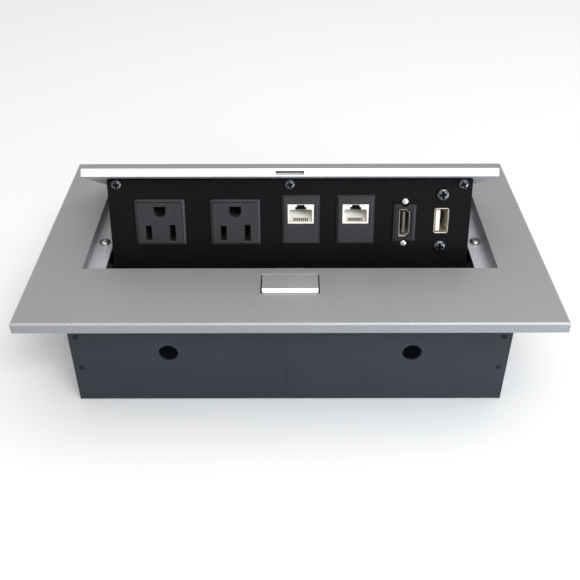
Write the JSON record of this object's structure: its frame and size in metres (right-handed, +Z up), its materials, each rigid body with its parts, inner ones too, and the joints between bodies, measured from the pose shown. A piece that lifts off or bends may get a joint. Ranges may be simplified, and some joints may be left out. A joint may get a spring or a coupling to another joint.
{
  "type": "recessed desk power box",
  "caption": "Recessed desk box with a tilting tray of mains, network, video and USB sockets, held shut by a push-button latch.",
  "frame": {"origin": "centre of the underside of the box; the desk surface is 58.8 mm above it", "axes": "+Z up out of the desk, -Y towards the user, X along the bezel"},
  "size_m": [0.27, 0.1634, 0.1131],
  "materials": {
    "bezel_aluminium": "sand-blasted satin silver",
    "lid_aluminium": "satin silver",
    "button_aluminium": "satin silver",
    "slate_steel": "satin slate-grey paint",
    "black_sheet": "fine-textured black powder coat",
    "black_screws": "black oxide",
    "zinc_steel": "zinc plate",
    "spring_steel": "bright wire",
    "plated_shell": "nickel plate",
    "contact_brass": "bright",
    "ivory_plastic": "semi-gloss",
    "charcoal_plastic": "fine moulded texture",
    "black_plastic": "moulded",
    "rubber": "matt"
  },
  "bodies": {
    "housing": {"bezel_frame": "bezel_aluminium", "hinge_bushes": "ivory_plastic", "box_shell_left": "slate_steel", "box_shell_right": "slate_steel", "joint_strap": "slate_steel", "end_plate_left": "slate_steel", "end_plate_right": "slate_steel", "wall_screws": "black_screws", "ledge_screws": "zinc_steel", "ledge_nuts": "zinc_steel", "latch_bracket": "zinc_steel", "latch_bracket_screws": "zinc_steel", "button_springs": "spring_steel", "latch_spring": "spring_steel", "mains_bushing": "black_plastic", "data_bushings": "black_plastic", "terminal_block": "ivory_plastic", "terminal_screws": "contact_brass", "earth_stud": "contact_brass"},
    "tray": {"lid": "lid_aluminium", "panel_rail": "black_sheet", "rail_screws": "zinc_steel", "socket_panel": "black_sheet", "panel_screws": "black_screws", "cheek_left": "black_sheet", "cheek_right": "black_sheet", "tray_cover": "black_sheet", "cover_screws": "black_screws", "hinge_lugs": "zinc_steel", "hinge_pins": "spring_steel", "hinge_springs": "spring_steel", "stop_bumpers": "rubber", "outlet_left": "charcoal_plastic", "outlet_right": "charcoal_plastic", "outlet_contacts": "contact_brass", "keystone_left": "charcoal_plastic", "keystone_right": "charcoal_plastic", "rj45_jack_left": "ivory_plastic", "rj45_jack_right": "ivory_plastic", "rj45_contacts": "contact_brass", "hdmi_housing": "black_plastic", "hdmi_shell": "plated_shell", "hdmi_tongue": "black_plastic", "hdmi_posts": "plated_shell", "usb_body": "black_plastic", "usb_shell": "plated_shell", "usb_tongue": "ivory_plastic", "usb_screws": "black_screws"},
    "button": {"button_cap": "button_aluminium"},
    "latch": {"latch_slider": "zinc_steel"}
  },
  "joints": [
    {"name": "tray_hinge", "type": "hinge", "parent": "housing", "child": "tray", "pos_m": [0, 0.0567, 0.0578], "axis": [1, 0, 0], "range_deg": [0, 33], "stiffness_Nm_per_rad": 0.6, "springref_deg": -57.3},
    {"name": "button_press", "type": "slide", "parent": "housing", "child": "button", "axis": [0, 0, -1], "range_m": [0, 0.002], "stiffness_N_per_m": 400, "springref_m": -0.003, "deforming": ["button_springs"]},
    {"name": "latch_slide", "type": "slide", "parent": "housing", "child": "latch", "axis": [0, -1, 0], "range_m": [0, 0.0028], "deforming": ["latch_spring"]}
  ],
  "couplings": [
    {"joint": "latch_slide", "follows": "button_press", "ratio": 1.4}
  ]
}
